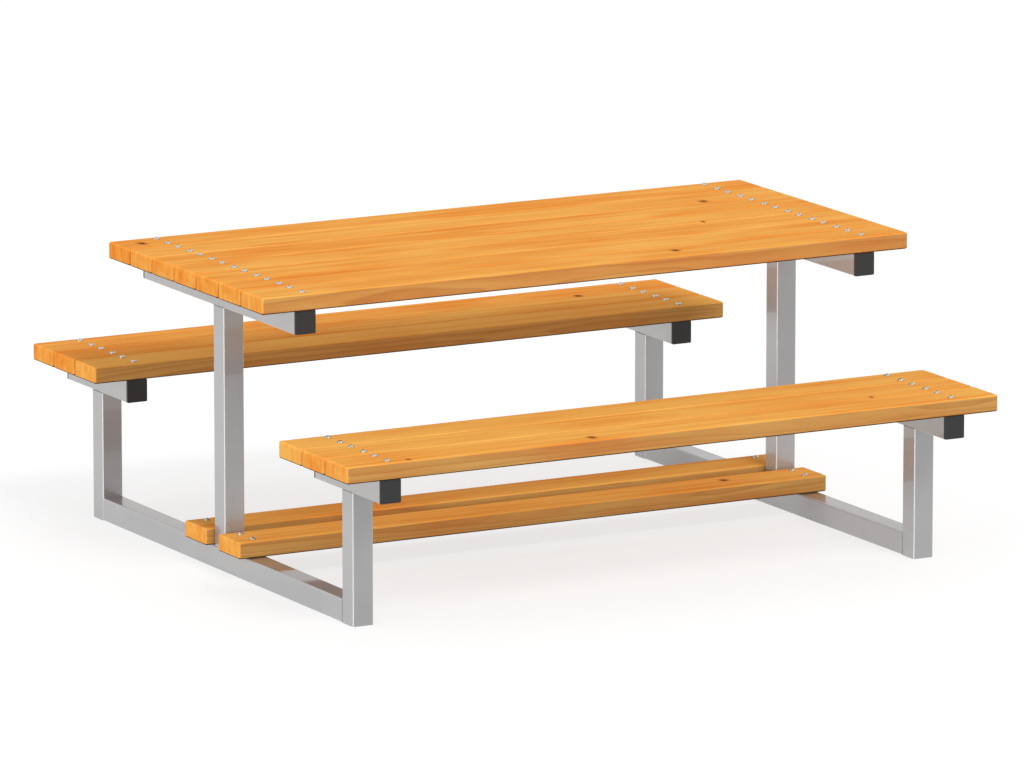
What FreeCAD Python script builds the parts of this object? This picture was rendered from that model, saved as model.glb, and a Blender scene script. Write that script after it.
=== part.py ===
import FreeCAD
import Part
import math
import os

# A picnic table with two benches fixed to it. Two welded end frames of square steel tube stand
# on the ground. Each frame has a floor rail, a bench leg at each end of it, a post in its middle,
# and a rail on top of every leg and post. Planks lie across the two frames and are held by
# button-head screws that go into rivet nuts in the top wall of the rails.
# Millimetres. +Z is up, +X runs along the planks, -Y is the front, and the origin is on the
# ground below the middle of the table top.

Vector = FreeCAD.Vector
X_AXIS = Vector(1, 0, 0)
Z_AXIS = Vector(0, 0, 1)
QUARTER_TURN = 90
HALF_TURN = 180
FULL_TURN = 360

# Places of the whole set
TABLE_HEIGHT = 760          # ground to the top of the table planks
SEAT_HEIGHT = 427           # ground to the top of the bench planks
BENCH_CENTRE = 677          # middle of the set to the middle of a bench, along Y

# Planks
TABLE_PLANKS = 7
BENCH_PLANKS = 3
TABLE_LENGTH = 1800
TABLE_OVERHANG = 120        # end of a table plank beyond the middle of the end frame under it
BENCH_OVERHANG = 120        # the same for a bench plank
FOOTREST_OVERHANG = 49      # the same for a footrest plank
PLANK_WIDTH = 115
PLANK_THICKNESS = 42
PLANK_GAP = 5
PLANK_ROUNDING = 5
FOOTREST_POST_GAP = 5       # free space between a post and the footrest plank beside it

# Square tube
TUBE_WIDTH = 55             # along X, the same for every tube so that their sides are flush
POST_DEPTH = 57             # along Y
LEG_DEPTH = 57              # along Y
FLOOR_RAIL_HEIGHT = 58
TOP_RAIL_HEIGHT = 58
TUBE_WALL = 2.5
TUBE_INNER_CORNER = 1
RAIL_INSET = 6              # long edge of the planks back to the face of the rail's end cap

# Plates welded into the foot of each leg
LEG_PLATE_THICKNESS = 4
LEG_PLATE_FIT = 0.2         # free space on each side, filled by the weld

# Moulded end caps
CAP_FLANGE = 6
CAP_EDGE_ROUNDING = 0.8
CAP_PLUG_LENGTH = 24
CAP_PLUG_WALL = 2.5
CAP_RIBS = 3
CAP_RIB_THICKNESS = 1.6
CAP_RIB_HEIGHT = 1.5
CAP_RIB_FIT = 0.2           # free space between a rib and the inside of the tube
CAP_SLOT_FIT = 1            # free space beside the rivet nut in the slot of the plug

# Button-head screws
SCREW_DIAMETER = 10
SCREW_EDGE = 25             # long edge of a plank to the middle of the screw beside it
SCREW_REACH = 20            # length of thread below the underside of the plank
SCREW_TIP_CHAMFER = 1
SCREW_HEAD_DIAMETER = 17.5
SCREW_HEAD_HEIGHT = 5.5
SCREW_HEAD_RIM = 1        # straight rim below the dome of the head
SCREW_SOCKET_FLATS = 6      # across the flats of the hexagon
SCREW_SOCKET_DEPTH = 3.1
SCREW_SOCKET_SIDES = 6
SCREW_HOLE_FIT = 0.5        # free space round the screw in the plank
SCREW_THREAD_FIT = 0.05     # free space between the thread and its nut

# Rivet nuts
NUT_BODY_DIAMETER = 13
NUT_BODY_FIT = 0.1          # free space round the nut in the tube wall
NUT_FLANGE_DIAMETER = 16
NUT_FLANGE_THICKNESS = 1
NUT_FLANGE_FIT = 0.4        # free space round the flange in the underside of the plank
NUT_BULGE_DIAMETER = 17     # where the nut is crimped against the inside of the tube wall
NUT_BULGE_HEIGHT = 5
NUT_THREAD_LENGTH = 9

OVERRUN = 1                 # how far a cutter passes the face that it cuts through

# Sizes that follow from those above
FRAME_SPACING = TABLE_LENGTH - 2 * TABLE_OVERHANG
BENCH_LENGTH = FRAME_SPACING + 2 * BENCH_OVERHANG
FOOTREST_LENGTH = FRAME_SPACING + 2 * FOOTREST_OVERHANG
SCREW_SPACING = PLANK_WIDTH - 2 * SCREW_EDGE
PLANK_PITCH = PLANK_WIDTH + PLANK_GAP
TABLE_WIDTH = TABLE_PLANKS * PLANK_PITCH - PLANK_GAP
BENCH_WIDTH = BENCH_PLANKS * PLANK_PITCH - PLANK_GAP
TABLE_UNDERSIDE = TABLE_HEIGHT - PLANK_THICKNESS
BENCH_UNDERSIDE = SEAT_HEIGHT - PLANK_THICKNESS
POST_TOP = TABLE_UNDERSIDE - TOP_RAIL_HEIGHT
LEG_TOP = BENCH_UNDERSIDE - TOP_RAIL_HEIGHT
TABLE_RAIL_LENGTH = TABLE_WIDTH - 2 * (RAIL_INSET + CAP_FLANGE)
BENCH_RAIL_LENGTH = BENCH_WIDTH - 2 * (RAIL_INSET + CAP_FLANGE)
FLOOR_RAIL_LENGTH = 2 * BENCH_CENTRE - LEG_DEPTH
FOOTREST_CENTRE = (POST_DEPTH + PLANK_WIDTH) / 2 + FOOTREST_POST_GAP
FRAME_X = {"left": -FRAME_SPACING / 2, "right": FRAME_SPACING / 2}
BENCH_Y = {"front": -BENCH_CENTRE, "rear": BENCH_CENTRE}
FOOTREST_Y = {"front": -FOOTREST_CENTRE, "rear": FOOTREST_CENTRE}


def plank_rows(count):
    """Y of the middle of each plank in a row of planks centred on zero, front plank first."""
    return [(index - (count - 1) / 2) * PLANK_PITCH for index in range(count)]


def screw_rows(plank_ys):
    """Y of every screw along a rail that carries the planks in these places."""
    return [y + side * SCREW_SPACING / 2 for y in plank_ys for side in (-1, 1)]


TABLE_PLANK_Y = plank_rows(TABLE_PLANKS)
BENCH_PLANK_Y = plank_rows(BENCH_PLANKS)
TABLE_SCREW_Y = screw_rows(TABLE_PLANK_Y)
BENCH_SCREW_Y = screw_rows(BENCH_PLANK_Y)
FOOTREST_SCREW_Y = screw_rows(FOOTREST_Y.values())


def prism(width, depth, height, corner):
    """Upright prism on z = 0, centred on the Z axis, with its upright edges rounded."""
    block = Part.makeBox(width, depth, height, Vector(-width / 2, -depth / 2, 0))
    upright = [edge for edge in block.Edges if edge.BoundBox.ZLength > edge.BoundBox.DiagonalLength / 2]
    return block.makeFillet(corner, upright)


def upright_tube(depth, length):
    """Tube along Z, standing on z = 0 and open at both ends."""
    outside = prism(TUBE_WIDTH, depth, length, TUBE_INNER_CORNER + TUBE_WALL)
    inside = prism(
        TUBE_WIDTH - 2 * TUBE_WALL,
        depth - 2 * TUBE_WALL,
        length + 2 * OVERRUN,
        TUBE_INNER_CORNER,
    )
    return outside.cut(inside.translated(Vector(0, 0, -OVERRUN)))


def rail(height, length, screw_ys):
    """Tube along Y, lying on z = 0, with a hole for a rivet nut in its top wall at each screw."""
    lying = upright_tube(height, length).rotated(Vector(), X_AXIS, -QUARTER_TURN)
    body = lying.translated(Vector(0, -length / 2, height / 2))
    hole_radius = NUT_BODY_DIAMETER / 2 + NUT_BODY_FIT
    hole_floor = height - TUBE_WALL - OVERRUN
    for y in screw_ys:
        hole = Part.makeCylinder(hole_radius, TUBE_WALL + 2 * OVERRUN, Vector(0, y, hole_floor))
        body = body.cut(hole)
    return body


def plank(length):
    """Plank along X with its underside on z = 0, all edges rounded, drilled for its screws."""
    corner = Vector(-length / 2, -PLANK_WIDTH / 2, 0)
    board = Part.makeBox(length, PLANK_WIDTH, PLANK_THICKNESS, corner)
    board = board.makeFillet(PLANK_ROUNDING, board.Edges)
    hole_radius = SCREW_DIAMETER / 2 + SCREW_HOLE_FIT
    recess_radius = NUT_FLANGE_DIAMETER / 2 + NUT_FLANGE_FIT
    recess_depth = NUT_FLANGE_THICKNESS + NUT_FLANGE_FIT
    for x in FRAME_X.values():
        for y in screw_rows([0]):
            foot = Vector(x, y, -OVERRUN)
            board = board.cut(Part.makeCylinder(hole_radius, PLANK_THICKNESS + 2 * OVERRUN, foot))
            board = board.cut(Part.makeCylinder(recess_radius, recess_depth + OVERRUN, foot))
    return board


def leg_plate():
    """Plate that closes the foot of a leg, flush with the ground."""
    clear = 2 * (TUBE_WALL + LEG_PLATE_FIT)
    corner = TUBE_INNER_CORNER - LEG_PLATE_FIT
    return prism(TUBE_WIDTH - clear, LEG_DEPTH - clear, LEG_PLATE_THICKNESS, corner)


def cap():
    """End cap of a top rail, with its flange above z = 0 and its ribbed plug below.

    The plug is slotted on its +Y side, to slide past the outermost rivet nut of the rail.
    """
    flange = prism(TUBE_WIDTH, TOP_RAIL_HEIGHT, CAP_FLANGE, TUBE_INNER_CORNER + TUBE_WALL)
    rim = [edge for edge in flange.Edges if edge.BoundBox.ZMin > flange.BoundBox.Center.z]
    flange = flange.makeFillet(CAP_EDGE_ROUNDING, rim)

    def filling(gap, height):
        """Prism that leaves this gap to the inside of the tube."""
        inset = 2 * (TUBE_WALL + gap)
        return prism(TUBE_WIDTH - inset, TOP_RAIL_HEIGHT - inset, height, TUBE_INNER_CORNER)

    body_gap = CAP_RIB_FIT + CAP_RIB_HEIGHT
    plug_foot = Vector(0, 0, -CAP_PLUG_LENGTH)
    plug = filling(body_gap, CAP_PLUG_LENGTH).translated(plug_foot)
    rib_step = CAP_PLUG_LENGTH / (CAP_RIBS + 1)
    for index in range(CAP_RIBS):
        rib_z = -(index + 1) * rib_step - CAP_RIB_THICKNESS / 2
        plug = plug.fuse(filling(CAP_RIB_FIT, CAP_RIB_THICKNESS).translated(Vector(0, 0, rib_z)))
    hollow = filling(body_gap + CAP_PLUG_WALL, CAP_PLUG_LENGTH + OVERRUN)
    plug = plug.cut(hollow.translated(plug_foot - Z_AXIS * OVERRUN))
    slot_width = NUT_BULGE_DIAMETER + 2 * CAP_SLOT_FIT
    slot_foot = Vector(-slot_width / 2, 0, -CAP_PLUG_LENGTH)
    slot = Part.makeBox(slot_width, TOP_RAIL_HEIGHT / 2, CAP_PLUG_LENGTH, slot_foot)
    return flange.fuse(plug.cut(slot)).removeSplitter()


def turned(outline):
    """Solid of revolution about the Z axis from a closed list of edges in the XZ plane."""
    return Part.Face(Part.Wire(outline)).revolve(Vector(), Z_AXIS, FULL_TURN)


def straight_edges(points):
    """Edges that join these points in order."""
    return [Part.makeLine(start, end) for start, end in zip(points, points[1:])]


def hexagon(flats, depth):
    """Six-sided prism standing on z = 0, with this width across its flats."""
    radius = flats / 2 / math.cos(math.pi / SCREW_SOCKET_SIDES)
    corners = []
    for index in range(SCREW_SOCKET_SIDES + 1):
        angle = 2 * math.pi * index / SCREW_SOCKET_SIDES
        corners.append(Vector(radius * math.cos(angle), radius * math.sin(angle), 0))
    return Part.Face(Part.makePolygon(corners)).extrude(Z_AXIS * depth)


def screw():
    """Button-head screw with the underside of its head on z = 0 and its thread below."""
    radius = SCREW_DIAMETER / 2
    head_radius = SCREW_HEAD_DIAMETER / 2
    tip_z = -(PLANK_THICKNESS + SCREW_REACH)
    dome_height = SCREW_HEAD_HEIGHT - SCREW_HEAD_RIM
    dome_radius = (head_radius**2 + dome_height**2) / (2 * dome_height)
    half_angle = math.asin(head_radius / dome_radius) / 2
    dome_centre_z = SCREW_HEAD_HEIGHT - dome_radius
    dome_middle = Vector(
        dome_radius * math.sin(half_angle),
        0,
        dome_centre_z + dome_radius * math.cos(half_angle),
    )
    tip = Vector(0, 0, tip_z)
    top = Vector(0, 0, SCREW_HEAD_HEIGHT)
    rim = Vector(head_radius, 0, SCREW_HEAD_RIM)
    outline = straight_edges([
        top,
        tip,
        Vector(radius - SCREW_TIP_CHAMFER, 0, tip_z),
        Vector(radius, 0, tip_z + SCREW_TIP_CHAMFER),
        Vector(radius, 0, 0),
        Vector(head_radius, 0, 0),
        rim,
    ])
    outline.append(Part.Arc(rim, dome_middle, top).toShape())
    socket = hexagon(SCREW_SOCKET_FLATS, SCREW_SOCKET_DEPTH + OVERRUN)
    socket_floor = SCREW_HEAD_HEIGHT - SCREW_SOCKET_DEPTH
    return turned(outline).cut(socket.translated(Vector(0, 0, socket_floor)))


def rivet_nut():
    """Rivet nut set in a tube wall whose outside is z = 0, with the nut's flange above it."""
    bore = SCREW_DIAMETER / 2 + SCREW_THREAD_FIT
    body = NUT_BODY_DIAMETER / 2
    flange = NUT_FLANGE_DIAMETER / 2
    bulge = NUT_BULGE_DIAMETER / 2
    bulge_foot = -TUBE_WALL - NUT_BULGE_HEIGHT
    nut_foot = bulge_foot - NUT_THREAD_LENGTH
    corners = [
        (bore, NUT_FLANGE_THICKNESS),
        (flange, NUT_FLANGE_THICKNESS),
        (flange, 0),
        (body, 0),
        (body, -TUBE_WALL),
        (bulge, -TUBE_WALL),
        (bulge, bulge_foot),
        (body, bulge_foot),
        (body, nut_foot),
        (bore, nut_foot),
        (bore, NUT_FLANGE_THICKNESS),
    ]
    return turned(straight_edges([Vector(radius, 0, z) for radius, z in corners]))


def copies(shape, places):
    """One compound of separate copies of a shape, moved to these places."""
    return Part.makeCompound([shape.translated(place) for place in places])


def plank_nodes():
    """Every plank of the table, the benches and the footrest, in its place."""
    nodes = {}
    board = plank(TABLE_LENGTH)
    for number, y in enumerate(TABLE_PLANK_Y, start=1):
        nodes[f"table_plank_{number}"] = board.translated(Vector(0, y, TABLE_UNDERSIDE))
    board = plank(BENCH_LENGTH)
    for side, bench_y in BENCH_Y.items():
        for number, y in enumerate(BENCH_PLANK_Y, start=1):
            place = Vector(0, bench_y + y, BENCH_UNDERSIDE)
            nodes[f"{side}_bench_plank_{number}"] = board.translated(place)
    board = plank(FOOTREST_LENGTH)
    for side, y in FOOTREST_Y.items():
        nodes[f"{side}_footrest_plank"] = board.translated(Vector(0, y, FLOOR_RAIL_HEIGHT))
    return nodes


def frame_nodes(end, x):
    """The welded tubes of one end frame, with the plates in the feet of its legs."""
    table_rail = rail(TOP_RAIL_HEIGHT, TABLE_RAIL_LENGTH, TABLE_SCREW_Y)
    bench_rail = rail(TOP_RAIL_HEIGHT, BENCH_RAIL_LENGTH, BENCH_SCREW_Y)
    floor_rail = rail(FLOOR_RAIL_HEIGHT, FLOOR_RAIL_LENGTH, FOOTREST_SCREW_Y)
    post = upright_tube(POST_DEPTH, POST_TOP - FLOOR_RAIL_HEIGHT)
    leg = upright_tube(LEG_DEPTH, LEG_TOP)
    nodes = {
        f"{end}_table_rail": table_rail.translated(Vector(x, 0, POST_TOP)),
        f"{end}_table_post": post.translated(Vector(x, 0, FLOOR_RAIL_HEIGHT)),
        f"{end}_floor_rail": floor_rail.translated(Vector(x, 0, 0)),
    }
    for side, y in BENCH_Y.items():
        nodes[f"{end}_{side}_bench_rail"] = bench_rail.translated(Vector(x, y, LEG_TOP))
        nodes[f"{end}_{side}_bench_leg"] = leg.translated(Vector(x, y, 0))
    feet = [Vector(x, y, 0) for y in BENCH_Y.values()]
    nodes[f"{end}_leg_base_plates"] = copies(leg_plate(), feet)
    return nodes


def cap_nodes(end, x):
    """The caps in both ends of the three top rails of one end frame."""
    facing_front = cap().rotated(Vector(), X_AXIS, QUARTER_TURN)
    facing_rear = facing_front.rotated(Vector(), Z_AXIS, HALF_TURN)
    rails = {"table": (0, POST_TOP, TABLE_RAIL_LENGTH)}
    for side, y in BENCH_Y.items():
        rails[f"{side}_bench"] = (y, LEG_TOP, BENCH_RAIL_LENGTH)
    nodes = {}
    for name, (y, z, length) in rails.items():
        middle_z = z + TOP_RAIL_HEIGHT / 2
        front_end = Vector(x, y - length / 2, middle_z)
        rear_end = Vector(x, y + length / 2, middle_z)
        nodes[f"{end}_{name}_rail_front_cap"] = facing_front.translated(front_end)
        nodes[f"{end}_{name}_rail_rear_cap"] = facing_rear.translated(rear_end)
    return nodes


def fastener_nodes(end, x):
    """The screws and rivet nuts along one end frame, grouped by what they hold down."""
    rows = {"table": (TABLE_SCREW_Y, 0, TABLE_UNDERSIDE)}
    for side, y in BENCH_Y.items():
        rows[f"{side}_bench"] = (BENCH_SCREW_Y, y, BENCH_UNDERSIDE)
    rows["footrest"] = (FOOTREST_SCREW_Y, 0, FLOOR_RAIL_HEIGHT)
    nodes = {}
    for name, (screw_ys, middle_y, underside) in rows.items():
        nut_places = [Vector(x, middle_y + y, underside) for y in screw_ys]
        screw_places = [place + Z_AXIS * PLANK_THICKNESS for place in nut_places]
        nodes[f"{end}_{name}_screws"] = copies(screw(), screw_places)
        nodes[f"{end}_{name}_rivet_nuts"] = copies(rivet_nut(), nut_places)
    return nodes


def all_nodes():
    """Every piece of the set by name."""
    nodes = plank_nodes()
    for end, x in FRAME_X.items():
        nodes.update(frame_nodes(end, x))
        nodes.update(cap_nodes(end, x))
        nodes.update(fastener_nodes(end, x))
    return nodes


os.makedirs("parts", exist_ok=True)
everything = all_nodes()
for node, shape in everything.items():
    shape.exportStep(os.path.join("parts", f"{node}.step"))
solids = sum(len(shape.Solids) for shape in everything.values())
box = Part.makeCompound(list(everything.values())).BoundBox
print(f"{len(everything)} nodes, {solids} solids")
print(f"overall {box.XLength:.1f} x {box.YLength:.1f} x {box.ZLength:.1f} mm")
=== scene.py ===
# %% [markdown]
# # Dressing a picnic table with two benches
#
# The CAD model already holds every solid in its place, so this lesson only makes it look real.
# It gives the steel, plastic and zinc their finishes, and it makes anew the two things that an
# eye comes closest to: the planks and the screws. Lengths are metres, unless a title or a
# comment says millimetres. X runs along the planks, -Y is the front and Z is up.

# %% Load the CAD model
import math
import random

import bmesh
import bpy
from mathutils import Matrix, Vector


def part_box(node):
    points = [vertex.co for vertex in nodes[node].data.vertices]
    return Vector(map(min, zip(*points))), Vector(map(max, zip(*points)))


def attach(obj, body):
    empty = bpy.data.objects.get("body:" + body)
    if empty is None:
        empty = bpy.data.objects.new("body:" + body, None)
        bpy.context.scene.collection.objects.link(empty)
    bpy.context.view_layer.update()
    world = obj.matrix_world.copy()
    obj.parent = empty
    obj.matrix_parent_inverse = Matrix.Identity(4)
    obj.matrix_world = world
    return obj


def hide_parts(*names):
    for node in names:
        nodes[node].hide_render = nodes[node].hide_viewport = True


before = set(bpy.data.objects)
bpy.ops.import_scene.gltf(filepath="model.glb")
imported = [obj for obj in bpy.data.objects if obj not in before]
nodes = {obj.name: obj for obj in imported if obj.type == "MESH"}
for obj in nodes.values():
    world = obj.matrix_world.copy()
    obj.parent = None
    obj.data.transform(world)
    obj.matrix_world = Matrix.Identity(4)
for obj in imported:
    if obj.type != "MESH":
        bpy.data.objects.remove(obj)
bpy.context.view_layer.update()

# %% [markdown]
# ## Two helpers
#
# A paint chart gives colours as sRGB hex codes, but light adds up in linear values, so one
# function turns the first into the second. Node trees grow by many small steps, so one function
# adds any node, sets its settings, and fills its inputs with numbers or with earlier nodes.

# %% Colour and node helpers
MM = 0.001
NODES_IN_ROW = 10           # how a tree is laid out in the node editor
NODE_WIDTH = 220
NODE_HEIGHT = 320


def linear(code):
    """Linear RGBA of an sRGB hex code such as "#c08040"."""
    shares = [int(code[i:i + 2], 16) / 255 for i in (1, 3, 5)]
    return [s / 12.92 if s <= 0.04045 else ((s + 0.055) / 1.055) ** 2.4 for s in shares] + [1.0]


def add(tree, kind, links=None, **settings):
    """Adds a node with its settings, and fills its inputs.

    An input is named or numbered, and takes a value, a socket or a node's first output.
    """
    node = tree.nodes.new(kind)
    row, column = divmod(len(tree.nodes), NODES_IN_ROW)
    node.location = column * NODE_WIDTH, -row * NODE_HEIGHT
    for name, value in settings.items():
        setattr(node, name, value)
    for key, value in (links or {}).items():
        named = [s for s in node.inputs if s.enabled and s.name == key]
        socket = node.inputs[key] if isinstance(key, int) else named[0]
        if isinstance(value, bpy.types.Node):
            value = next(s for s in value.outputs if s.enabled)
        if isinstance(value, bpy.types.NodeSocket):
            tree.links.new(value, socket)
        else:
            socket.default_value = value
    return node


print("orange stain #f0a34f is", [round(v, 3) for v in linear("#f0a34f")], "in linear light")

# %% [markdown]
# ## The shape of a plank
#
# Each plank is planed pine with every edge and corner rounded by a router. A cube with a Bevel
# modifier would do, but its shading creeps over the flat faces. Here a Geometry Nodes tree
# follows the rule of a rounded block instead: take a cube whose outer rows of points belong to
# the rounding, turn each point's place in those rows into a direction, and set the point one
# radius out from the block's inner core in that direction. The same direction is the exact
# normal, so flats shade flat. The tree also writes down where each point lay in the tree trunk
# and the plank's tone, which the pine finish reads later.

# %% Inputs of the plank tree
plank_tree = bpy.data.node_groups.new("rounded_plank", "GeometryNodeTree")
plank_tree.interface.new_socket("Plank", in_out="OUTPUT", socket_type="NodeSocketGeometry")
plank_kinds = {
    "Length": "NodeSocketFloat",
    "Width": "NodeSocketFloat",
    "Thickness": "NodeSocketFloat",
    "Rounding": "NodeSocketFloat",
    "Middle": "NodeSocketVector",
    "Place in Log": "NodeSocketVector",
    "Tone": "NodeSocketFloat",
    "Finish": "NodeSocketMaterial",
}
plank_inputs = {
    name: plank_tree.interface.new_socket(name, in_out="INPUT", socket_type=kind).identifier
    for name, kind in plank_kinds.items()
}
plank_given = add(plank_tree, "NodeGroupInput").outputs
print("plank inputs:", plank_inputs)

# %% Direction of each point of the block
ROUNDING_STEPS = 6          # facets over each 45 degrees of an edge

rows = 2 * ROUNDING_STEPS + 2
stretch = [(rows - 1) / (rows - 2)] * 3
shift = [-1 / (rows - 2)] * 3
block = add(plank_tree, "GeometryNodeMeshCube", {
    "Size": (2, 2, 2), "Vertices X": rows, "Vertices Y": rows, "Vertices Z": rows})
point = add(plank_tree, "GeometryNodeInputPosition")
side = add(plank_tree, "ShaderNodeVectorMath", {0: point}, operation="SIGN")
reach = add(plank_tree, "ShaderNodeVectorMath", {0: point}, operation="ABSOLUTE")
# From the innermost row of points to the outermost, the turn grows from 0 to 45 degrees.
turn = add(plank_tree, "ShaderNodeVectorMath", {0: reach, 1: stretch, 2: shift},
           operation="MULTIPLY_ADD")
signed_turn = add(plank_tree, "ShaderNodeVectorMath", {0: turn, 1: side}, operation="MULTIPLY")
angle = add(plank_tree, "ShaderNodeVectorMath", {0: signed_turn, "Scale": math.pi / 4},
            operation="SCALE")
slope = add(plank_tree, "ShaderNodeVectorMath", {0: angle}, operation="TANGENT")
facing = add(plank_tree, "ShaderNodeVectorMath", {0: slope}, operation="NORMALIZE")
print("block of", rows, "rows of points along each edge")

# %% Place of each point
rounding = plank_given["Rounding"]
whole = add(plank_tree, "ShaderNodeCombineXYZ", {
    "X": plank_given["Length"], "Y": plank_given["Width"], "Z": plank_given["Thickness"]})
half = add(plank_tree, "ShaderNodeVectorMath", {0: whole, "Scale": 0.5}, operation="SCALE")
core = add(plank_tree, "ShaderNodeVectorMath", {0: half, 1: rounding}, operation="SUBTRACT")
skin = add(plank_tree, "ShaderNodeVectorMath", {0: facing, "Scale": rounding}, operation="SCALE")
local = add(plank_tree, "ShaderNodeVectorMath", {0: side, 1: core, 2: skin},
            operation="MULTIPLY_ADD")
kept = add(plank_tree, "GeometryNodeCaptureAttribute", {"Geometry": block}, domain="POINT")
for name, field in {"facing": facing, "local": local}.items():
    kept.capture_items.new("VECTOR", name)
    plank_tree.links.new(field.outputs["Vector"], kept.inputs[name])
placed = add(plank_tree, "ShaderNodeVectorMath", {
    0: kept.outputs["local"], 1: plank_given["Middle"]})
in_log = add(plank_tree, "ShaderNodeVectorMath", {
    0: kept.outputs["local"], 1: plank_given["Place in Log"]})
print("captured:", [item.name for item in kept.capture_items])

# %% Finish of the plank tree
shaped = add(plank_tree, "GeometryNodeSetPosition", {
    "Geometry": kept.outputs["Geometry"], "Position": placed})
smooth = add(plank_tree, "GeometryNodeSetShadeSmooth", {"Geometry": shaped})
shaded = add(plank_tree, "GeometryNodeSetMeshNormal", {"Mesh": smooth},
             mode="FREE", domain="POINT")
plank_tree.links.new(kept.outputs["facing"], shaded.inputs["Custom Normal"])
sawn = add(plank_tree, "GeometryNodeStoreNamedAttribute", {
    "Geometry": shaded, "Name": "in_log"}, data_type="FLOAT_VECTOR", domain="POINT")
plank_tree.links.new(in_log.outputs["Vector"], sawn.inputs["Value"])
toned = add(plank_tree, "GeometryNodeStoreNamedAttribute", {
    "Geometry": sawn, "Name": "tone", "Value": plank_given["Tone"]},
    data_type="FLOAT", domain="POINT")
solid = add(plank_tree, "GeometryNodeRealizeInstances", {"Geometry": toned})
dressed = add(plank_tree, "GeometryNodeSetMaterial", {
    "Geometry": solid, "Material": plank_given["Finish"]})
add(plank_tree, "NodeGroupOutput", {"Plank": dressed})
print("plank tree has", len(plank_tree.nodes), "nodes")

# %% [markdown]
# ## Stained pine
#
# The planks are pine with an orange wood stain, oiled and left matt. Pine has wide pale bands of
# spring wood, thin darker lines of summer wood, and knots where branches grew. A flat picture of
# wood wrapped round a board looks wrong on its ends, so the pattern fills space: rings round the
# heart of a trunk, cut by the faces of the plank. Then tops get straight lines, front edges get
# long flames and ends get upright arcs, all from the same rings.

# %% Start the pine finish
stained_pine = bpy.data.materials.new("stained_pine_matt_oil")
stained_pine.use_nodes = True
grain = stained_pine.node_tree
grain.nodes.clear()
on_plank = add(grain, "ShaderNodeTexCoord").outputs
log_place = add(grain, "ShaderNodeAttribute", attribute_name="in_log").outputs["Vector"]
print("started", stained_pine.name)

# %% [markdown]
# ### Knots
#
# A knot is the foot of a branch: a small dark oval that the grain flows round. There are few of
# them and each has its place, so they are listed rather than scattered. Every knot gives
# two things: how far a point is from it, counted in knot sizes, and how far it pushes the rings.

# %% Places of the knots, in millimetres: middle, then half sizes along X, Y and Z
KNOTS = [
    ((-838, 356, 740), (11, 15, 60)),
    ((664, 195, 740), (11, 12, 60)),
    ((525, -47, 740), (5, 9, 60)),
    ((274, -352, 740), (11, 12, 60)),
    ((-728, -839, 427), (6, 7, 14)),
    ((-222, -824, 407), (11, 14, 40)),
    ((613, -728, 407), (5, 6, 60)),
    ((608, 748, 407), (11, 9, 60)),
    ((570, -79, 79), (11, 12, 60)),
]
print(len(KNOTS), "knots")

# %% Distance from the nearest knot, and the push of all of them
PUSH_NEAR = 0.5             # knot sizes from the middle, up to where the push is full
PUSH_FAR = 2.0              # and from where there is none
PUSH_STRENGTH = 0.07        # push for each millimetre of the smallest half size

nearest = None
push = None
for middle, size in KNOTS:
    scale = [1 / (s * MM) for s in size]
    offset = [-m / s for m, s in zip(middle, size)]
    away = add(grain, "ShaderNodeMapping", {
        "Vector": on_plank["Object"], "Location": offset, "Scale": scale})
    far = add(grain, "ShaderNodeVectorMath", {0: away}, operation="LENGTH")
    fade = add(grain, "ShaderNodeMapRange", {
        "Value": far, "From Min": PUSH_NEAR, "From Max": PUSH_FAR,
        "To Min": PUSH_STRENGTH * min(size), "To Max": 0.0}, interpolation_type="SMOOTHSTEP")
    push = add(grain, "ShaderNodeVectorMath", {0: away, 1: fade, 2: push or (0, 0, 0)},
               operation="MULTIPLY_ADD")
    nearest = far if nearest is None else add(
        grain, "ShaderNodeMath", {0: nearest, 1: far}, operation="MINIMUM")
print("a knot pushes the grain as far as", PUSH_FAR, "of its sizes")

# %% [markdown]
# ### Growth rings
#
# The rings are measured by the distance from the heart of the trunk. A slow noise, long along
# the trunk and short across it, lets them wander as a living tree does, and the knots push them
# aside. One ring is about 3.4 mm wide, and good and poor years make it vary.

# %% Distance from the heart of the trunk
WANDER = 9 * MM                                 # how far a ring strays from a true circle
WANDER_SIZE = (900 * MM, 90 * MM, 90 * MM)      # of its bends: along the trunk, then across it
KNOT_PUSH = 7 * MM                              # how far a push of 1 sets the rings aside
NOISE_MIDDLE = (0.5, 0.5, 0.5)

slow = add(grain, "ShaderNodeVectorMath", {0: log_place, 1: [1 / s for s in WANDER_SIZE]},
           operation="MULTIPLY")
drift = add(grain, "ShaderNodeTexNoise", {
    "Vector": slow, "Scale": 1.0, "Detail": 2.0, "Roughness": 0.45})
centred = add(grain, "ShaderNodeVectorMath", {0: drift.outputs["Color"], 1: NOISE_MIDDLE},
              operation="SUBTRACT")
wandered = add(grain, "ShaderNodeVectorMath", {
    0: centred, 1: (0, 2 * WANDER, 2 * WANDER), 2: log_place}, operation="MULTIPLY_ADD")
pushed = add(grain, "ShaderNodeVectorMath", {
    0: push, 1: (0, -KNOT_PUSH, -KNOT_PUSH), 2: wandered}, operation="MULTIPLY_ADD")
across = add(grain, "ShaderNodeVectorMath", {0: pushed, 1: (0, 1, 1)}, operation="MULTIPLY")
radius = add(grain, "ShaderNodeVectorMath", {0: across}, operation="LENGTH")
print("rings stray by", round(WANDER / MM), "mm")

# %% Years, and the dark line that ends each one
RING_WIDTH = 3.4 * MM
YEARS_WIDTH = 17 * MM       # a run of good or poor years
YEARS_CHANGE = 0.9          # how fast such a run changes with each metre along the trunk
YEARS_SHIFT = 2.2           # rings by which a good run sets the next ones aside
SUMMER_POWER = 3.0          # how late in the year the wood turns dark
WINTER_START = 0.88         # share of the year after which it turns pale again

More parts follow.
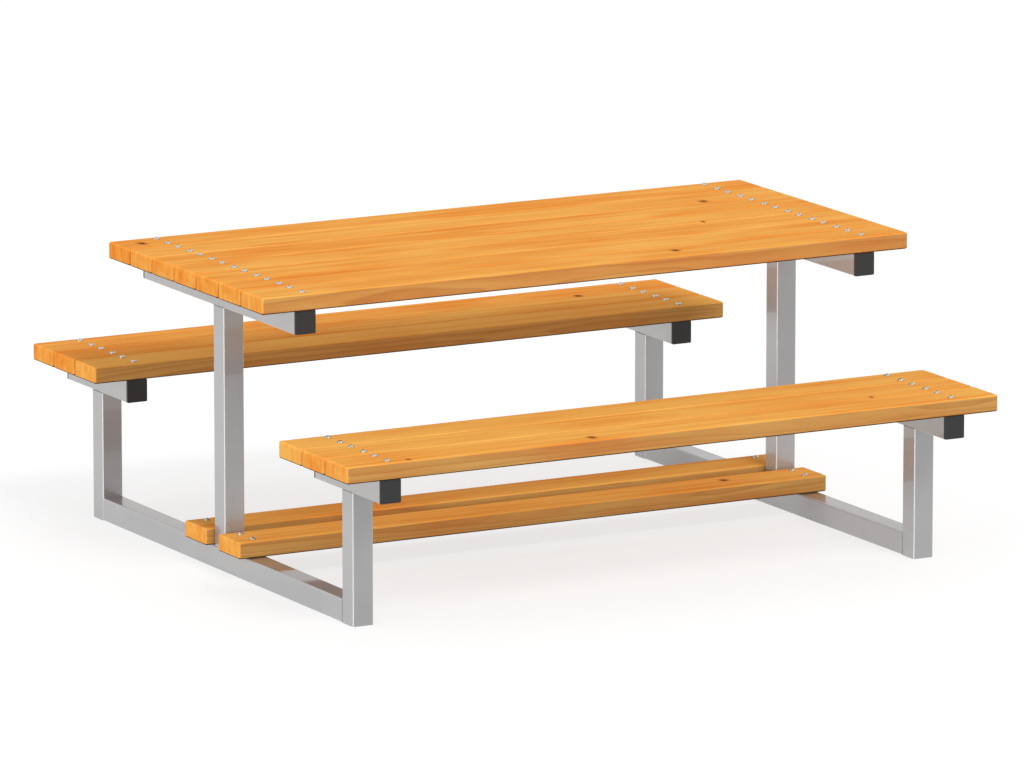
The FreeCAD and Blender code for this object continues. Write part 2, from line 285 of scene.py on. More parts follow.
along = add(grain, "ShaderNodeSeparateXYZ", {0: log_place}).outputs["X"]
year_place = add(grain, "ShaderNodeMath", {0: radius, 1: 1 / YEARS_WIDTH}, operation="MULTIPLY")
trunk_place = add(grain, "ShaderNodeMath", {0: along, 1: YEARS_CHANGE}, operation="MULTIPLY")
year_point = add(grain, "ShaderNodeCombineXYZ", {"X": trunk_place, "Y": year_place})
years = add(grain, "ShaderNodeTexNoise", {
    "Vector": year_point, "Scale": 1.0, "Detail": 3.0, "Roughness": 0.55}, noise_dimensions="2D")
ring_count = add(grain, "ShaderNodeMath", {0: radius, 1: 1 / RING_WIDTH}, operation="MULTIPLY")
uneven = add(grain, "ShaderNodeMath", {0: years, 1: YEARS_SHIFT, 2: ring_count},
             operation="MULTIPLY_ADD")
age = add(grain, "ShaderNodeMath", {0: uneven}, operation="FRACT")
darkening = add(grain, "ShaderNodeMath", {0: age, 1: SUMMER_POWER}, operation="POWER")
winter = add(grain, "ShaderNodeMapRange", {
    "Value": age, "From Min": WINTER_START, "From Max": 1.0, "To Min": 1.0, "To Max": 0.0},
    interpolation_type="SMOOTHSTEP")
summer_wood = add(grain, "ShaderNodeMath", {0: darkening, 1: winter}, operation="MULTIPLY")
print("rings", round(RING_WIDTH / MM, 1), "mm wide, in runs of", round(YEARS_WIDTH / MM), "mm")

# %% [markdown]
# ### Fibre
#
# Seen close, planed pine is combed with fine fibres, and stain soaks into them unevenly. Three
# noises drawn out along the trunk give that: broad streaks that show from across a garden, fine
# fibres that show at arm's length, and richer and leaner lengths of trunk, near half a metre
# long, that drink more or less stain.

# %% Streaks, fibres and lengths
STREAK_SIZE = (280 * MM, 24 * MM, 24 * MM)      # along the trunk, then across it
FIBRE_SIZE = (60 * MM, 0.9 * MM, 0.9 * MM)
LENGTH_SIZE = (450 * MM, 140 * MM, 140 * MM)

streak_place = add(grain, "ShaderNodeVectorMath", {0: pushed, 1: [1 / s for s in STREAK_SIZE]},
                   operation="MULTIPLY")
streaks = add(grain, "ShaderNodeTexNoise", {
    "Vector": streak_place, "Scale": 1.0, "Detail": 4.0, "Roughness": 0.58})
fibre_place = add(grain, "ShaderNodeVectorMath", {0: pushed, 1: [1 / s for s in FIBRE_SIZE]},
                  operation="MULTIPLY")
fibres = add(grain, "ShaderNodeTexNoise", {
    "Vector": fibre_place, "Scale": 1.0, "Detail": 2.0, "Roughness": 0.6})
length_place = add(grain, "ShaderNodeVectorMath", {0: log_place, 1: [1 / s for s in LENGTH_SIZE]},
                   operation="MULTIPLY")
lengths = add(grain, "ShaderNodeTexNoise", {"Vector": length_place, "Scale": 1.0, "Detail": 1.0})
print("streaks", round(STREAK_SIZE[1] / MM), "mm and fibres", FIBRE_SIZE[1] / MM, "mm wide")

# %% [markdown]
# ### Depth of the stain
#
# The stain is a clear orange, pale where the wood drank little and deep where it drank much.
# Runs of years, streaks and lengths of trunk all have a say in that, and so has each plank as a
# whole: the plank tree wrote it down as its tone. A tone could simply make a plank brighter, but
# then it looks like a lit plank rather than a thinly stained one. Some tones also hold painted
# light and shade, set with the planks below. End grain drinks a little more.

# %% How much stain each point drank
PALE_STAIN = linear("#ffbe5e")
DEEP_STAIN = linear("#f28a2d")
NOISE_SPAN = {"From Min": 0.3, "From Max": 0.7}         # nearly all of a noise lies in its middle
YEARS_SPAN = {"From Min": 0.34, "From Max": 0.66}
STREAKS_SAY = 0.6           # the rest is up to the years
LENGTHS_SAY = 0.24
ENDS_SAY = 0.12

years_wide = add(grain, "ShaderNodeMapRange", {"Value": years, **YEARS_SPAN})
streaks_wide = add(grain, "ShaderNodeMapRange", {"Value": streaks, **NOISE_SPAN})
depth = add(grain, "ShaderNodeMix", {"Factor": STREAKS_SAY, "A": years_wide, "B": streaks_wide},
            data_type="FLOAT")
richness = add(grain, "ShaderNodeMapRange", {
    "Value": lengths, **NOISE_SPAN, "To Min": -LENGTHS_SAY, "To Max": LENGTHS_SAY})
rich_depth = add(grain, "ShaderNodeMath", {0: depth, 1: richness})
own_tone = add(grain, "ShaderNodeAttribute", attribute_name="tone").outputs["Fac"]
own_depth = add(grain, "ShaderNodeMath", {0: rich_depth, 1: own_tone}, operation="SUBTRACT")
end_grain = add(grain, "ShaderNodeVectorMath", {0: on_plank["Normal"], 1: (1, 0, 0)},
                operation="DOT_PRODUCT")
end_share = add(grain, "ShaderNodeMath", {0: end_grain}, operation="ABSOLUTE")
end_depth = add(grain, "ShaderNodeMath", {0: end_share, 1: ENDS_SAY, 2: own_depth},
                operation="MULTIPLY_ADD")
stain = add(grain, "ShaderNodeMix", {"Factor": end_depth, "A": PALE_STAIN, "B": DEEP_STAIN},
            data_type="RGBA")
print("stain mixed by", len(grain.nodes), "nodes so far")

# %% [markdown]
# ### Rings and fibres in the stain
#
# Summer wood is dense and shows as brown lines. On planed faces they are faint. Ends and narrow
# sides are only sawn, and rough wood takes more stain, so there the rings stand out. The narrow
# sides are also painted darker, a painted shade for the light that falls on them less than on
# the tops, and they are a little less saturated. The way that the surface faces tells these
# sides apart, so no face needs a finish of its own.

# %% Rings on planed and sawn faces
SUMMER_STAIN = linear("#d88231")
SAWN_SPAN = {"From Min": 0.3, "From Max": 0.9}          # from a planed face over to a sawn one
PLANED_RINGS = 0.25
SAWN_RINGS = 0.75

narrow_side = add(grain, "ShaderNodeVectorMath", {0: on_plank["Normal"], 1: (0, 1, 0)},
                  operation="DOT_PRODUCT")
narrow_share = add(grain, "ShaderNodeMath", {0: narrow_side}, operation="ABSOLUTE")
sawn_share = add(grain, "ShaderNodeMath", {0: end_share, 1: narrow_share}, operation="MAXIMUM")
ring_depth = add(grain, "ShaderNodeMapRange", {
    "Value": sawn_share, **SAWN_SPAN, "To Min": PLANED_RINGS, "To Max": SAWN_RINGS})
ring_mark = add(grain, "ShaderNodeMath", {0: summer_wood, 1: ring_depth}, operation="MULTIPLY")
ringed = add(grain, "ShaderNodeMix", {"Factor": ring_mark, "A": stain, "B": SUMMER_STAIN},
             data_type="RGBA")
print("rings show", PLANED_RINGS, "on planed faces and", SAWN_RINGS, "on sawn ones")

# %% Fibres, and the painted shade on the narrow sides
FIBRE_SPAN = {"From Min": 0.2, "From Max": 0.8}
NARROW_SPAN = {"From Min": 0.9, "From Max": 1.0}        # only the flat of the narrow side
FIBRE_CONTRAST = 0.07
NARROW_LIGHT = 0.74
NARROW_COLOUR = 0.95

fibre_light = add(grain, "ShaderNodeMapRange", {
    "Value": fibres, **FIBRE_SPAN, "To Min": 1 - FIBRE_CONTRAST, "To Max": 1 + FIBRE_CONTRAST})
# Painted shade: the flat of each narrow side is darkened, for the light that falls on it less than
# on the tops.
narrow_side_shade = add(grain, "ShaderNodeMapRange", {
    "Value": narrow_share, **NARROW_SPAN, "To Min": 1.0, "To Max": NARROW_LIGHT})
dulled = add(grain, "ShaderNodeMapRange", {
    "Value": narrow_share, **NARROW_SPAN, "To Min": 1.0, "To Max": NARROW_COLOUR})
fibres_and_painted_shade = add(grain, "ShaderNodeMath", {0: fibre_light, 1: narrow_side_shade}, operation="MULTIPLY")
combed = add(grain, "ShaderNodeHueSaturation", {
    "Color": ringed, "Saturation": dulled, "Value": fibres_and_painted_shade})
print("narrow sides keep", NARROW_LIGHT, "of their light")

# %% [markdown]
# ### Painted shade on the lower edges
#
# The lower edges are painted darker to a thin brown line: painted shade, for the little light
# that reaches them from below. An edge could be found by its distance from the sides, but a
# rounded edge is simply where the surface faces neither along X, nor Y, nor Z. The paint of the
# tubes uses the same test later.

# %% Find the rounded edges
EDGE_SPAN = {"From Min": 0.88, "From Max": 0.99}        # from a rounding over to a flat


def edge_share(tree, normal):
    """1 on the rounded edges of a squared piece, 0 on its flats, from the way it faces."""
    parts = add(tree, "ShaderNodeSeparateXYZ", {
        0: add(tree, "ShaderNodeVectorMath", {0: normal}, operation="ABSOLUTE")}).outputs
    level = add(tree, "ShaderNodeMath", {0: parts["X"], 1: parts["Y"]}, operation="MAXIMUM")
    squarest = add(tree, "ShaderNodeMath", {0: level, 1: parts["Z"]}, operation="MAXIMUM")
    return add(tree, "ShaderNodeMapRange", {
        "Value": squarest, **EDGE_SPAN, "To Min": 1.0, "To Max": 0.0})


print("a surface that is square to X, Y or Z is a flat, any other an edge")

# %% Darken the lower ones with painted shade
EDGE_SHADE_COLOUR = linear("#3a200e")
DOWNWARD_SPAN = {"From Min": -0.1, "From Max": -0.3}    # from level over to facing down
EDGE_SHADE_STRENGTH = 0.95

edges = edge_share(grain, on_plank["Normal"])
upward = add(grain, "ShaderNodeSeparateXYZ", {0: on_plank["Normal"]}).outputs["Z"]
lower = add(grain, "ShaderNodeMapRange", {
    "Value": upward, **DOWNWARD_SPAN, "To Max": EDGE_SHADE_STRENGTH})
# Painted shade: the rounded edges that face down are darkened to a thin brown line.
edge_shade_share = add(grain, "ShaderNodeMath", {0: edges, 1: lower}, operation="MULTIPLY")
edged_pine = add(grain, "ShaderNodeMix", {"Factor": edge_shade_share, "A": combed, "B": EDGE_SHADE_COLOUR},
                 data_type="RGBA")
# The share printed here is the strength of the painted shade.
print("lower edges are", EDGE_SHADE_STRENGTH, "damp")

# %% [markdown]
# ### Colour of the knots
#
# A knot has a brown heart of dense branch wood and a wider, paler halo where the grain bends
# round it. Both fade with the distance from the nearest knot, so one distance serves all nine.

# %% Halo and heart
KNOT_HALO = linear("#b9681f")
KNOT_HEART = linear("#6b3a16")
HALO_SPAN = {"From Min": 0.9, "From Max": 1.9}          # knot sizes from the middle
HEART_SPAN = {"From Min": 0.55, "From Max": 1.1}
HALO_STRENGTH = 0.6
HEART_STRENGTH = 0.9

halo_share = add(grain, "ShaderNodeMapRange", {
    "Value": nearest, **HALO_SPAN, "To Min": HALO_STRENGTH, "To Max": 0.0},
    interpolation_type="SMOOTHSTEP")
haloed = add(grain, "ShaderNodeMix", {"Factor": halo_share, "A": edged_pine, "B": KNOT_HALO},
             data_type="RGBA")
heart_share = add(grain, "ShaderNodeMapRange", {
    "Value": nearest, **HEART_SPAN, "To Min": HEART_STRENGTH, "To Max": 0.0},
    interpolation_type="SMOOTHSTEP")
knotted = add(grain, "ShaderNodeMix", {"Factor": heart_share, "A": haloed, "B": KNOT_HEART},
              data_type="RGBA")
print("pine colours mixed from", len(grain.nodes), "nodes")

# %% [markdown]
# ### Matt oil
#
# Oil soaks in and leaves no film, so the wood keeps its comb of fibres and hardly mirrors at
# all. The camera looks along the tops at a low angle, where even a thin film would turn them
# white, so the mirror part of the finish is almost off.

# %% Oil over the stain
COMB_DEPTH = 0.25 * MM

sheen = add(grain, "ShaderNodeMapRange", {
    "Value": fibres, **FIBRE_SPAN, "To Min": 0.68, "To Max": 0.82})
relief = add(grain, "ShaderNodeMath", {0: summer_wood, 1: fibres})
combing = add(grain, "ShaderNodeBump", {
    "Strength": 0.25, "Distance": COMB_DEPTH, "Height": relief})
oiled = add(grain, "ShaderNodeBsdfPrincipled", {
    "Base Color": knotted, "Roughness": sheen, "IOR": 1.5, "Specular IOR Level": 0.03,
    "Normal": combing})
add(grain, "ShaderNodeOutputMaterial", {"Surface": oiled})
print(stained_pine.name, "has", len(grain.nodes), "nodes")

# %% [markdown]
# ## Making the planks
#
# One tree makes all fifteen planks. Each run takes its sizes from the CAD plank that it stands
# for, and a place in a trunk of its own, drawn with a fixed seed so that the same grain comes
# back each time. The result is kept as a plain mesh.

# %% Run a tree and keep its mesh
def made_by(tree, name, points, settings):
    """Runs a node tree on a mesh of bare points, and keeps what it makes as a plain mesh."""
    mesh = bpy.data.meshes.new(name)
    mesh.from_pydata(points, [], [])
    piece = bpy.data.objects.new(name, mesh)
    bpy.context.scene.collection.objects.link(piece)
    modifier = piece.modifiers.new("made_by_nodes", "NODES")
    modifier.node_group = tree
    for identifier, value in settings.items():
        modifier[identifier] = value
    depsgraph = bpy.context.evaluated_depsgraph_get()
    result = bpy.data.meshes.new_from_object(piece.evaluated_get(depsgraph))
    piece.modifiers.remove(modifier)
    piece.data = result
    result.name = name
    return piece


print("ready to run", plank_tree.name)

# %% Tone of each plank: how much less stain it drank than the deepest wood, plus painted light
# Some tones are painted light and shade: the footrest planks are painted lighter, as if more light
# reached them under the table, and the rear bench planks lighter or darker for the table's shadow.
TONES_AND_PAINTED_LIGHT = {
    "table_plank_1": 0.11, "table_plank_2": 0.06, "table_plank_3": 0.05, "table_plank_4": 0.18,
    "table_plank_5": 0.00, "table_plank_6": 0.20, "table_plank_7": 0.04,
    "front_bench_plank_1": 0.20, "front_bench_plank_2": 0.19, "front_bench_plank_3": 0.36,
    "rear_bench_plank_1": 0.30, "rear_bench_plank_2": 0.12, "rear_bench_plank_3": -0.10,
    "front_footrest_plank": 0.22, "rear_footrest_plank": 0.30,
}
print("tones from", min(TONES_AND_PAINTED_LIGHT.values()), "to", max(TONES_AND_PAINTED_LIGHT.values()))

# %% Fifteen planks
PLANK_ROUNDING = 5 * MM
TRUNK_REACH = 40            # metres of trunk that the planks come from
HEART_BESIDE = (85, 150)    # millimetres between a plank and the heart of its trunk, along Y
HEART_BELOW = (5, 25)       # and along Z

sawmill = random.Random(1)
for node, tone in TONES_AND_PAINTED_LIGHT.items():
    low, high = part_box(node)
    size = high - low
    heart = [
        sawmill.uniform(0, TRUNK_REACH),
        sawmill.choice((-1, 1)) * sawmill.uniform(*HEART_BESIDE) * MM,
        sawmill.choice((-1, 1)) * sawmill.uniform(*HEART_BELOW) * MM,
    ]
    values = [size.x, size.y, size.z, PLANK_ROUNDING, (low + high) / 2, heart, tone, stained_pine]
    plank = made_by(plank_tree, node + "_pine", [], dict(zip(plank_inputs.values(), values)))
    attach(plank, "root")
    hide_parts(node)
print(len(TONES_AND_PAINTED_LIGHT), "planks of", len(plank.data.polygons), "faces each")

# %% [markdown]
# ## Button-head screws
#
# Two stainless screws hold each end of every plank. Only their low domes show, with a hexagon
# socket in the middle. A cylinder with a boolean cut would leave ragged shading on so small a
# dome, so one screw is turned up ring by ring in mesh code: each ring is either round or
# hexagonal, and neighbouring rings are joined by faces. A second tree then sets a copy on every
# point of a row and turns each by a chance angle, as a fitter's key leaves them.

# %% Stainless steel
# Bright turned stainless: a metal that mirrors softly, with fine rings left by the lathe.
BRIGHT_STEEL = linear("#e0d7c8")
SCREW_SHADE_COLOUR = linear("#2e2a26")
LATHE_MARK = 0.4 * MM       # really about 0.05 mm, drawn coarser so that the marks show

stainless = bpy.data.materials.new("turned_stainless_steel")
stainless.use_nodes = True
steel = stainless.node_tree
steel.nodes.clear()
steel_place = add(steel, "ShaderNodeTexCoord").outputs["Object"]
lathe_marks = add(steel, "ShaderNodeTexNoise", {
    "Vector": steel_place, "Scale": 1 / LATHE_MARK, "Detail": 2.0})
turned_sheen = add(steel, "ShaderNodeMapRange", {
    "Value": lathe_marks, **NOISE_SPAN, "To Min": 0.30, "To Max": 0.42})
# Painted shade: the socket and the rim are painted darker, for the shade that falls there. The
# screw's own mesh says where.
screw_shade = add(steel, "ShaderNodeAttribute", attribute_name="screw_shade").outputs["Fac"]
steel_with_painted_shade = add(steel, "ShaderNodeMix", {"Factor": screw_shade, "A": BRIGHT_STEEL, "B": SCREW_SHADE_COLOUR},
             data_type="RGBA")
steel_surface = add(steel, "ShaderNodeBsdfPrincipled", {
    "Base Color": steel_with_painted_shade, "Metallic": 1.0, "Roughness": turned_sheen})
add(steel, "ShaderNodeOutputMaterial", {"Surface": steel_surface})
print("made", stainless.name)

# %% Sizes of one screw, in millimetres
THREAD_RADIUS = 5
THREAD_LENGTH = 62
TIP_CHAMFER = 1
HEAD_RADIUS = 8.75
HEAD_HEIGHT = 5.5
HEAD_RIM = 1                # straight rim below the dome
RIM_CHAMFER = 0.25
SOCKET_FLATS = 6
SOCKET_DEPTH = 3.1
SOCKET_RIM = 4.95           # height where the socket opens in the dome

dome_rise = HEAD_HEIGHT - HEAD_RIM
dome_radius = (HEAD_RADIUS**2 + dome_rise**2) / (2 * dome_rise)
dome_middle = HEAD_HEIGHT - dome_radius
print("dome radius", round(dome_radius, 3), "mm")

# %% Rings from the tip up and into the socket: shape, radius, height and share of painted shade
DOME_SHADE = {0.92: 0.25, 0.82: 0.05, 0.7: 0.0, 0.58: 0.0, 0.47: 0.0}   # by share of the radius
RIM_SHADE = 0.5
RIM_TOP_SHADE = 0.45
SOCKET_RIM_SHADE = 0.25
SOCKET_SHADE = 0.65

rings = [
    ("round", THREAD_RADIUS - TIP_CHAMFER, -THREAD_LENGTH, 0.0),
    ("round", THREAD_RADIUS, TIP_CHAMFER - THREAD_LENGTH, 0.0),
    ("round", THREAD_RADIUS, 0, 0.0),
    ("round", HEAD_RADIUS - RIM_CHAMFER, 0, RIM_SHADE),
    ("round", HEAD_RADIUS, RIM_CHAMFER, RIM_SHADE),
    ("round", HEAD_RADIUS, HEAD_RIM, RIM_TOP_SHADE),
]
for share, screw_shade_share in DOME_SHADE.items():
    dome_reach = HEAD_RADIUS * share
    dome_height = dome_middle + math.sqrt(dome_radius**2 - dome_reach**2)
    rings.append(("round", dome_reach, dome_height, screw_shade_share))
rings += [
    ("hexagon", SOCKET_FLATS / 2, SOCKET_RIM, SOCKET_RIM_SHADE),
    ("hexagon", SOCKET_FLATS / 2, HEAD_HEIGHT - SOCKET_DEPTH, SOCKET_SHADE),
]
print(len(rings), "rings")

# %% Points of a ring
POINTS_ROUND = 24


def ring_points(shape, ring_radius, height):
    """Points round one ring. A hexagon's radius is measured to the middle of its flats."""
    points = []
    for index in range(POINTS_ROUND):
        angle = 2 * math.pi * index / POINTS_ROUND
        sixth = math.pi / 3
        to_flat = (angle + sixth / 2) % sixth - sixth / 2
        out = ring_radius if shape == "round" else ring_radius / math.cos(to_flat)
        points.append(Vector((out * math.cos(angle), out * math.sin(angle), height)) * MM)
    return points


print(POINTS_ROUND, "points round each ring")

# %% Join the rings to a screw
SHARP_EDGE = math.radians(40)

shell = bmesh.new()
screw_shade_layer = shell.verts.layers.float.new("screw_shade")
hoops = []
for *ring, screw_shade_share in rings:
    hoop = [shell.verts.new(p) for p in ring_points(*ring)]
    # Each point keeps its share of painted shade, which the steel finish reads.
    for vertex in hoop:
        vertex[screw_shade_layer] = screw_shade_share
    hoops.append(hoop)
for below, above in zip(hoops, hoops[1:]):
    for i in range(POINTS_ROUND):
        j = (i + 1) % POINTS_ROUND
        shell.faces.new((below[i], below[j], above[j], above[i]))
shell.faces.new(hoops[0][::-1])
shell.faces.new(hoops[-1])
for face in shell.faces:
    face.smooth = True
screw_mesh = bpy.data.meshes.new("one_screw")
shell.to_mesh(screw_mesh)
shell.free()
screw_mesh.set_sharp_from_angle(angle=SHARP_EDGE)
one_screw = bpy.data.objects.new("one_screw", screw_mesh)
bpy.context.scene.collection.objects.link(one_screw)
print("one screw has", len(screw_mesh.polygons), "faces")

# %% Tree that sets a screw on every point of a row
row_tree = bpy.data.node_groups.new("row_of_screws", "GeometryNodeTree")
row_tree.interface.new_socket("Screws", in_out="OUTPUT", socket_type="NodeSocketGeometry")
row_kinds = {
    "Places": "NodeSocketGeometry",
    "Screw": "NodeSocketObject",
    "Most Turn": "NodeSocketFloat",
    "Seed": "NodeSocketInt",
    "Finish": "NodeSocketMaterial",
}
row_inputs = {
    name: row_tree.interface.new_socket(name, in_out="INPUT", socket_type=kind).identifier
    for name, kind in row_kinds.items()
}
row_given = add(row_tree, "NodeGroupInput").outputs
screw_info = add(row_tree, "GeometryNodeObjectInfo", {"Object": row_given["Screw"]})
chance_turn = add(row_tree, "FunctionNodeRandomValue", {
    "Min": 0.0, "Max": row_given["Most Turn"], "Seed": row_given["Seed"]}, data_type="FLOAT")
about_z = add(row_tree, "ShaderNodeCombineXYZ", {"Z": chance_turn})
upright = add(row_tree, "FunctionNodeEulerToRotation", {0: about_z})
set_in = add(row_tree, "GeometryNodeInstanceOnPoints", {
    "Points": row_given["Places"], "Instance": screw_info.outputs["Geometry"],
    "Rotation": upright})
all_screws = add(row_tree, "GeometryNodeRealizeInstances", {"Geometry": set_in})
bright = add(row_tree, "GeometryNodeSetMaterial", {
    "Geometry": all_screws, "Material": row_given["Finish"]})
add(row_tree, "NodeGroupOutput", {"Screws": bright})
print("row inputs:", row_inputs)

# %% Eight rows of screws
SCREW_EDGE = 25 * MM        # long edge of a plank to the middle of its screw

for seed, node in enumerate(sorted(n for n in nodes if n.endswith("_screws"))):
    end, held = node.removesuffix("_screws").split("_", 1)
    post_low, post_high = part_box(f"{end}_table_post")
    x = (post_low.x + post_high.x) / 2
    places = []
    for plank_node in (n for n in TONES_AND_PAINTED_LIGHT if f"{held}_plank" in n):
        low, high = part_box(plank_node)
        places += [(x, low.y + SCREW_EDGE, high.z), (x, high.y - SCREW_EDGE, high.z)]
    values = [one_screw, math.tau, seed, stainless]
    settings = dict(zip(list(row_inputs.values())[1:], values))
    row = made_by(row_tree, node + "_stainless", places, settings)
    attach(row, "root")
    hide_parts(node)
    print(row.name, len(places), "screws")
bpy.data.objects.remove(one_screw)

# %% [markdown]
# ## Silver-grey paint
#
# The welded frames are powder coated: a dry paint is dusted on, and melts in an oven to a tough
# skin with the faint ripple that painters call orange peel. The paint is a silver under a clear
# gloss. Seen from above it is plain grey, but along the floor rails the eye meets the gloss at so
# low an angle that it mirrors the planks and the white beyond them. The CAD tubes have the right
# shape already, so they stay and only take the finish.

# %% Silver of the powder coat
THIN_SILVER = linear("#a8a8a9")
THICK_SILVER = linear("#aeaeae")
HIGHLIGHT_SILVER = linear("#cacaca")
PEEL_WIDTH = 2 * MM         # ripples of the orange peel
PEEL_DEPTH = 0.05 * MM
CLOUD_WIDTH = 120 * MM      # patches where the coat is a little thicker

powder_coat = bpy.data.materials.new("silver_grey_powder_coat")
powder_coat.use_nodes = True
coat = powder_coat.node_tree
coat.nodes.clear()
on_tube = add(coat, "ShaderNodeTexCoord").outputs
peel = add(coat, "ShaderNodeTexNoise", {
    "Vector": on_tube["Object"], "Scale": 1 / PEEL_WIDTH, "Detail": 1.0})
ripple = add(coat, "ShaderNodeBump", {"Strength": 0.06, "Distance": PEEL_DEPTH, "Height": peel})
cloud = add(coat, "ShaderNodeTexNoise", {
    "Vector": on_tube["Object"], "Scale": 1 / CLOUD_WIDTH, "Detail": 2.0})
cover = add(coat, "ShaderNodeMapRange", {"Value": cloud, **NOISE_SPAN})
silver = add(coat, "ShaderNodeMix", {"Factor": cover, "A": THIN_SILVER, "B": THICK_SILVER},
             data_type="RGBA")
# Painted highlight: the rounded edges are painted a lighter silver, for the light that they catch.
painted_highlight_share = edge_share(coat, on_tube["Normal"])
highlighted_silver = add(coat, "ShaderNodeMix", {"Factor": painted_highlight_share, "A": silver, "B": HIGHLIGHT_SILVER},
            data_type="RGBA")
print("started", powder_coat.name)

# %% Clear gloss, and the tubes that take it
painted = add(coat, "ShaderNodeBsdfPrincipled", {
    "Base Color": highlighted_silver, "Metallic": 0.5, "Roughness": 0.35, "Normal": ripple,
    "Coat Weight": 1.0, "Coat Roughness": 0.03, "Coat IOR": 1.5})
add(coat, "ShaderNodeOutputMaterial", {"Surface": painted})
tubes = [n for n in nodes if n.endswith(("_rail", "_post", "_leg", "_base_plates"))]
for node in tubes:
    nodes[node].material_slots[0].material = powder_coat
print(len(tubes), "steel pieces painted")

# %% [markdown]
# ## Moulded caps and zinc nuts
#
# Black polyethylene caps close the rails. They come from a spark-eroded mould, which leaves a
# fine matt texture. The rivet nuts inside the rails are zinc plated: a blue-white metal with
# cloudy patches. Both have their shape from the CAD model, so a finish is all that they need.

# %% Polyethylene caps
CAP_BLACK = linear("#222222")
CAP_SPECK = linear("#272727")
PIT_WIDTH = 0.5 * MM        # really about 0.15 mm, drawn coarser so that the pits show
PIT_DEPTH = 0.1 * MM

black_caps = bpy.data.materials.new("black_moulded_polyethylene")
black_caps.use_nodes = True
moulded = black_caps.node_tree
moulded.nodes.clear()
cap_place = add(moulded, "ShaderNodeTexCoord").outputs["Object"]
pits = add(moulded, "ShaderNodeTexNoise", {
    "Vector": cap_place, "Scale": 1 / PIT_WIDTH, "Detail": 2.0})
pitted = add(moulded, "ShaderNodeBump", {"Strength": 0.15, "Distance": PIT_DEPTH, "Height": pits})
dull = add(moulded, "ShaderNodeMapRange", {
    "Value": pits, **NOISE_SPAN, "To Min": 0.5, "To Max": 0.62})
black = add(moulded, "ShaderNodeMix", {"Factor": pits, "A": CAP_BLACK, "B": CAP_SPECK},
            data_type="RGBA")
plastic = add(moulded, "ShaderNodeBsdfPrincipled", {
    "Base Color": black, "Roughness": dull, "IOR": 1.51, "Normal": pitted})
add(moulded, "ShaderNodeOutputMaterial", {"Surface": plastic})
caps = [n for n in nodes if n.endswith("_cap")]
for node in caps:
    nodes[node].material_slots[0].material = black_caps
print(len(caps), "caps moulded")

# %% Zinc-plated rivet nuts
ZINC_BRIGHT = linear("#b9bec4")
ZINC_CLOUDY = linear("#9aa0a8")
CRYSTAL_WIDTH = 1.5 * MM

zinc_nuts = bpy.data.materials.new("zinc_plated_steel")
zinc_nuts.use_nodes = True
plating = zinc_nuts.node_tree
plating.nodes.clear()
nut_place = add(plating, "ShaderNodeTexCoord").outputs["Object"]
crystals = add(plating, "ShaderNodeTexVoronoi", {"Vector": nut_place, "Scale": 1 / CRYSTAL_WIDTH})
cloudy = add(plating, "ShaderNodeMix", {"Factor": crystals, "A": ZINC_BRIGHT, "B": ZINC_CLOUDY},
             data_type="RGBA")
satin = add(plating, "ShaderNodeMapRange", {"Value": crystals, "To Min": 0.35, "To Max": 0.5})
zinc = add(plating, "ShaderNodeBsdfPrincipled", {
    "Base Color": cloudy, "Metallic": 1.0, "Roughness": satin})
add(plating, "ShaderNodeOutputMaterial", {"Surface": zinc})
nuts = [n for n in nodes if n.endswith("_rivet_nuts")]
for node in nuts:
    nodes[node].material_slots[0].material = zinc_nuts
print(len(nuts), "rows of rivet nuts plated")

# %% [markdown]
# ## Floor
#
# The set stands on a white studio floor that darkens where the set shades it. A plain white
# floor would need so much light that the set would bleach. So what the camera and mirrors see of
# the floor is a steady glow, to which the light adds the last part, and a shadow takes only that
# part away. All other rays meet a grey floor, which throws little light back up.

# %% White floor that keeps the shadow
FLOOR_REACH = 30.0
FLOOR_GLOW = 0.74
FLOOR_LIT = [0.32, 0.32, 0.32, 1]
FLOOR_BOUNCE = [0.3, 0.3, 0.3, 1]

corners = [(x * FLOOR_REACH, y * FLOOR_REACH, 0) for x, y in ((-1, -1), (1, -1), (1, 1), (-1, 1))]
floor_mesh = bpy.data.meshes.new("studio_floor")
floor_mesh.from_pydata(corners, [], [(0, 1, 2, 3)])
floor = bpy.data.objects.new("studio_floor", floor_mesh)
bpy.context.scene.collection.objects.link(floor)
white_floor = bpy.data.materials.new("white_studio_floor")
white_floor.use_nodes = True
ground = white_floor.node_tree
ground.nodes.clear()
ray = add(ground, "ShaderNodeLightPath").outputs
mirror = add(ground, "ShaderNodeMath", {
    0: ray["Is Glossy Ray"], 1: ray["Is Transmission Ray"]}, use_clamp=True)
seen = add(ground, "ShaderNodeMath", {0: ray["Is Camera Ray"], 1: mirror}, use_clamp=True)
glow = add(ground, "ShaderNodeEmission", {"Strength": FLOOR_GLOW})
lit = add(ground, "ShaderNodeBsdfDiffuse", {"Color": FLOOR_LIT})
white = add(ground, "ShaderNodeAddShader", {0: glow, 1: lit})
bounce = add(ground, "ShaderNodeBsdfDiffuse", {"Color": FLOOR_BOUNCE})
either = add(ground, "ShaderNodeMixShader", {"Fac": seen, 1: bounce, 2: white})
add(ground, "ShaderNodeOutputMaterial", {"Surface": either})
floor_mesh.materials.append(white_floor)
print("floor", 2 * FLOOR_REACH, "m square")

# %% [markdown]
# ## Light
#
# Three soft lights do the work: an even sky, a narrow lamp low on the left that brightens the
# ends of the planks and reaches in under them, and a wider one high in front that throws soft
# shadows backwards. Lamps near the set would light one end more than the other, so both are far
# off. The camera and mirrors see the sky as plain white.

# %% Sky
SKY_LEVEL = 0.78

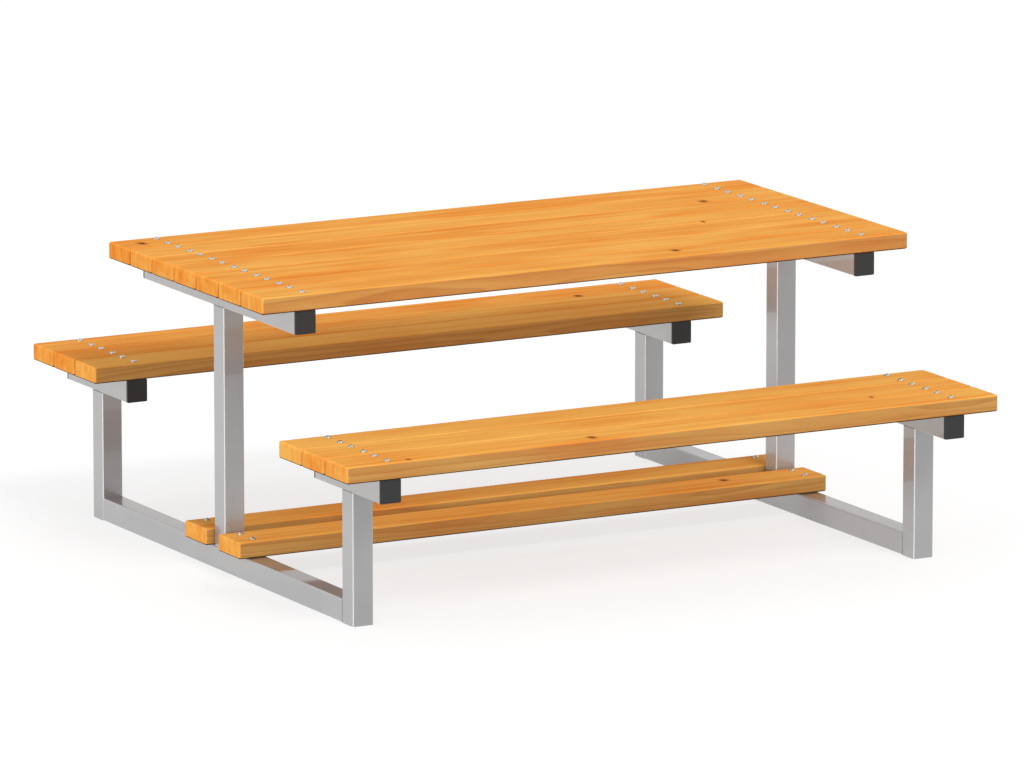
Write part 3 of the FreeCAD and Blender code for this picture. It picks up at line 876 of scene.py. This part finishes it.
world = bpy.data.worlds.new("studio_sky")
world.use_nodes = True
bpy.context.scene.world = world
sky = world.node_tree
sky.nodes.clear()
view_ray = add(sky, "ShaderNodeLightPath").outputs
sky_mirror = add(sky, "ShaderNodeMath", {
    0: view_ray["Is Glossy Ray"], 1: view_ray["Is Transmission Ray"]})
sky_seen = add(sky, "ShaderNodeMath", {
    0: view_ray["Is Camera Ray"], 1: sky_mirror}, use_clamp=True)
sky_level = add(sky, "ShaderNodeMapRange", {
    "Value": sky_seen, "To Min": SKY_LEVEL, "To Max": 1.0})
even_sky = add(sky, "ShaderNodeBackground", {"Strength": sky_level})
add(sky, "ShaderNodeOutputWorld", {"Surface": even_sky})
print("sky at", SKY_LEVEL)

# %% Lamps
def lamp(name, toward, level, width):
    """A far lamp in a direction, some degrees wide. At level 1 a white wall facing it is white."""
    light = bpy.data.lights.new(name, "SUN")
    light.energy = level * math.pi
    light.angle = math.radians(width)
    holder = bpy.data.objects.new(name, light)
    holder.rotation_euler = Vector(toward).to_track_quat("Z", "Y").to_euler()
    bpy.context.scene.collection.objects.link(holder)
    print(name, "at", level)


lamp("low_lamp_left", toward=(-1.0, -0.3, 0.045), level=0.54, width=5)
lamp("front_lamp", toward=(0.1, -0.93, 1.0), level=0.36, width=20)

# %% [markdown]
# ## Camera
#
# Lines along the planks hardly draw together in the picture, so the camera stands far off with a
# long lens. The view shows colours as they are written.

# %% Camera and view
CAMERA_PLACE = Vector((-11.0977, -20.4265, 5.1370))
LOOKS_AT = Vector((0.0228, 0.0270, 0.3810))
SENSOR_WIDTH = 36.0         # millimetres, as Blender counts both
FOCAL_LENGTH = 335.68
FARTHEST_SEEN = 200.0

lens = bpy.data.cameras.new("camera")
lens.sensor_width = SENSOR_WIDTH
lens.lens = FOCAL_LENGTH
lens.clip_end = FARTHEST_SEEN
camera = bpy.data.objects.new("camera", lens)
camera.location = CAMERA_PLACE
camera.rotation_euler = (LOOKS_AT - CAMERA_PLACE).to_track_quat("-Z", "Y").to_euler()
bpy.context.scene.collection.objects.link(camera)
bpy.context.scene.camera = camera
bpy.context.scene.view_settings.view_transform = "Standard"
print("camera", round((LOOKS_AT - CAMERA_PLACE).length, 2), "m away")
